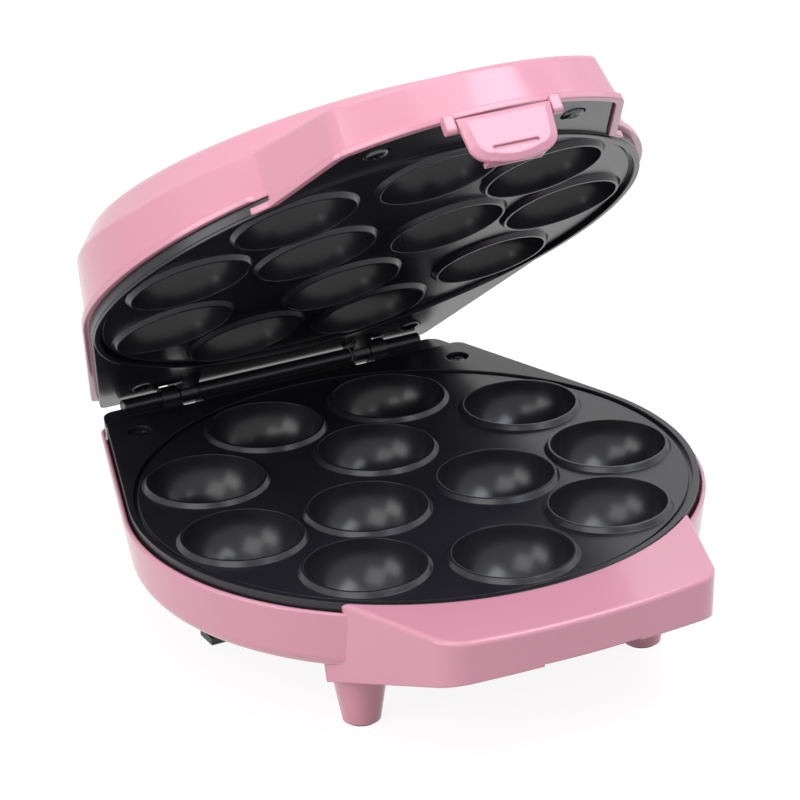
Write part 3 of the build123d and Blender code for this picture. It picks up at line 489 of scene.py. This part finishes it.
def latch_piece(made_of):
    """The latch as moulded: a chamfered plate, its knuckle and its catch lip."""
    mesh = bmesh.new()
    mesh.from_mesh(latch_plate())
    pin_y, pin_z = LATCH_PIN
    ring = [
        (pin_y + LATCH_KNUCKLE_R * math.cos(a), pin_z + LATCH_KNUCKLE_R * math.sin(a))
        for a in circle(LATCH_KNUCKLE_SIDES)
    ]
    skin(mesh, [[(side * LATCH_KNUCKLE_HALF_W, y, z) for y, z in ring] for side in (-1, 1)])
    low_z, high_z = CATCH_LIP_Z
    half = CATCH_LIP_HALF_W
    bar(mesh, [(-half, low_z), (half, low_z), (half, high_z), (-half, high_z)], CATCH_LIP_Y)
    bmesh.ops.transform(mesh, matrix=lid_place() @ Matrix.Scale(MM, 4), verts=mesh.verts)
    piece = to_object("moulded_latch", mesh)
    piece.data.materials.append(made_of)
    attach(piece, "latch")
    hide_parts("latch")


# The dressed part


def dress(materials):
    """Gives every piece of the frame its finish."""
    for name, made in materials.items():
        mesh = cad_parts[name].data
        mesh.materials.clear()
        mesh.materials.append(made)


def dress_frame():
    pink = moulded_pink()
    coating = nonstick_coating()
    zinc = zinc_plated_steel()
    dark_steel = blackened_steel()
    all_plate_screws(dark_steel)
    latch_piece(pink)
    tube = element_tube()
    sheet = rolled_sheet()
    rubber = moulded_black("moulded_rubber", 0.7, 0.4)
    black = moulded_black("moulded_black", 0.42, 0.5)
    nylon = natural_nylon()
    dress(
        {
            "base_shell": pink,
            "lid_shell": pink,
            "latch": pink,
            "lower_plate": coating,
            "upper_plate": coating,
            "lower_plate_screws": dark_steel,
            "upper_plate_screws": dark_steel,
            "base_fixing_screws": zinc,
            "lower_shield_screws": zinc,
            "upper_shield_screws": zinc,
            "lower_element_clamps": zinc,
            "upper_element_clamps": zinc,
            "hinge_pins": dark_steel,
            "latch_pin": zinc,
            "lower_heating_element": tube,
            "upper_heating_element": tube,
            "lower_heat_shield": sheet,
            "upper_heat_shield": sheet,
            "base_thermostat": sheet,
            "lid_thermostat": sheet,
            "thermal_fuse": nylon,
            "terminal_block": nylon,
            "cord_bushing": rubber,
            "foot_pads": rubber,
            "cord_cleats": black,
            "power_light_lens": tinted_lens("red_lens", "#C8202A"),
            "ready_light_lens": tinted_lens("green_lens", "#2E9E4B"),
            "indicator_lamps": tinted_lens("lamp_glass", "#E8D9C8"),
        }
    )


# Studio


def area_light(name, place, aim, size, power, colour="#FFFFFF"):
    light = bpy.data.lights.new(name, "AREA")
    light.shape = "RECTANGLE"
    light.size, light.size_y = size
    light.energy = power
    light.color = hex_colour(colour)[:3]
    made = bpy.data.objects.new(name, light)
    made.location = place
    made.rotation_euler = (Vector(aim) - Vector(place)).to_track_quat("-Z", "Y").to_euler()
    bpy.context.scene.collection.objects.link(made)


def seen_rays(tree):
    """One where the backdrop is looked at, straight, in a shine or through plastic, and zero for light."""
    rays = node(tree, "LightPath").outputs
    seen = rays["Is Camera Ray"]
    for name in ("Is Glossy Ray", "Is Transmission Ray"):
        either = node(tree, "Math", {"operation": "MAXIMUM"})
        tree.links.new(seen, either.inputs[0])
        tree.links.new(rays[name], either.inputs[1])
        seen = either.outputs[0]
    return seen


def studio():
    """A large soft box at the front right, weaker ones round the part and above it, and a pale room."""
    area_light("left_box", (-0.75, -0.55, 1.0), (0, 0, 0.08), (0.8, 0.7), LEFT_POWER)
    area_light("front_box", (0.49, -0.52, 1.15), (0, -0.02, 0.18), (0.85, 0.5), FRONT_POWER, COOL_WHITE)
    area_light("right_box", (1.0, -0.2, 0.55), (0, 0, 0.1), (0.5, 0.7), RIGHT_POWER)
    area_light("top_box", (0.05, 0.05, 1.2), (0, 0, 0.1), (0.9, 0.8), TOP_POWER)
    area_light("fill_box", (-1.15, -0.1, 0.4), (0, 0, 0.08), (0.7, 0.6), FILL_POWER)
    world = bpy.data.worlds.new("pale_room")
    bpy.context.scene.world = world
    world.use_nodes = True
    tree = world.node_tree
    back = tree.nodes["Background"]
    strength = node(tree, "MapRange", Value=seen_rays(tree), To_Min=ROOM_LIGHT, To_Max=1.0)
    back.inputs["Color"].default_value = (1, 1, 1, 1)
    tree.links.new(strength.outputs["Result"], back.inputs["Strength"])


def floor():
    """A plain white table that keeps the part's shadow and is white itself to the camera."""
    mesh = bpy.data.meshes.new("floor")
    corners = [(x * FLOOR_REACH, y * FLOOR_REACH, 0) for x, y in ((-1, -1), (1, -1), (1, 1), (-1, 1))]
    mesh.from_pydata(corners, [], [(0, 1, 2, 3)])
    made = bpy.data.objects.new("floor", mesh)
    bpy.context.scene.collection.objects.link(made)
    paper, tree, bsdf = finish(
        "floor_paper", Base_Color=(FLOOR_SHADE,) * 3 + (1,), Roughness=0.9, Specular_IOR_Level=0.1
    )
    white = node(tree, "Emission", Strength=FLOOR_GLOW)
    share = node(tree, "MapRange", Value=seen_rays(tree), To_Min=0.0, To_Max=FLOOR_GLOW_SHARE)
    both = node(tree, "MixShader", Fac=share.outputs["Result"])
    tree.links.new(bsdf.outputs["BSDF"], both.inputs[1])
    tree.links.new(white.outputs["Emission"], both.inputs[2])
    tree.links.new(both.outputs["Shader"], tree.nodes["Material Output"].inputs["Surface"])
    mesh.materials.append(paper)


def camera():
    back = Vector(
        (
            math.sin(CAMERA_AZIMUTH) * math.cos(CAMERA_HEIGHT),
            -math.cos(CAMERA_AZIMUTH) * math.cos(CAMERA_HEIGHT),
            math.sin(CAMERA_HEIGHT),
        )
    )
    level = Vector((math.cos(CAMERA_AZIMUTH), math.sin(CAMERA_AZIMUTH), 0))
    upright = back.cross(level)
    right = level * math.cos(CAMERA_ROLL) + upright * math.sin(CAMERA_ROLL)
    up = upright * math.cos(CAMERA_ROLL) - level * math.sin(CAMERA_ROLL)
    lens = bpy.data.cameras.new("camera")
    lens.lens = CAMERA_LENS
    lens.sensor_width = CAMERA_SENSOR
    lens.shift_x, lens.shift_y = CAMERA_SHIFT
    lens.clip_start, lens.clip_end = CAMERA_CLIP
    made = bpy.data.objects.new("camera", lens)
    place = PLATE_CENTRE + back * CAMERA_DISTANCE
    turn = Matrix((right, up, back)).transposed().to_4x4()
    made.matrix_world = Matrix.Translation(place) @ turn
    bpy.context.scene.collection.objects.link(made)
    bpy.context.scene.camera = made


bpy.context.scene.view_settings.view_transform = "Standard"
camera()
studio()
floor()
dress_frame()
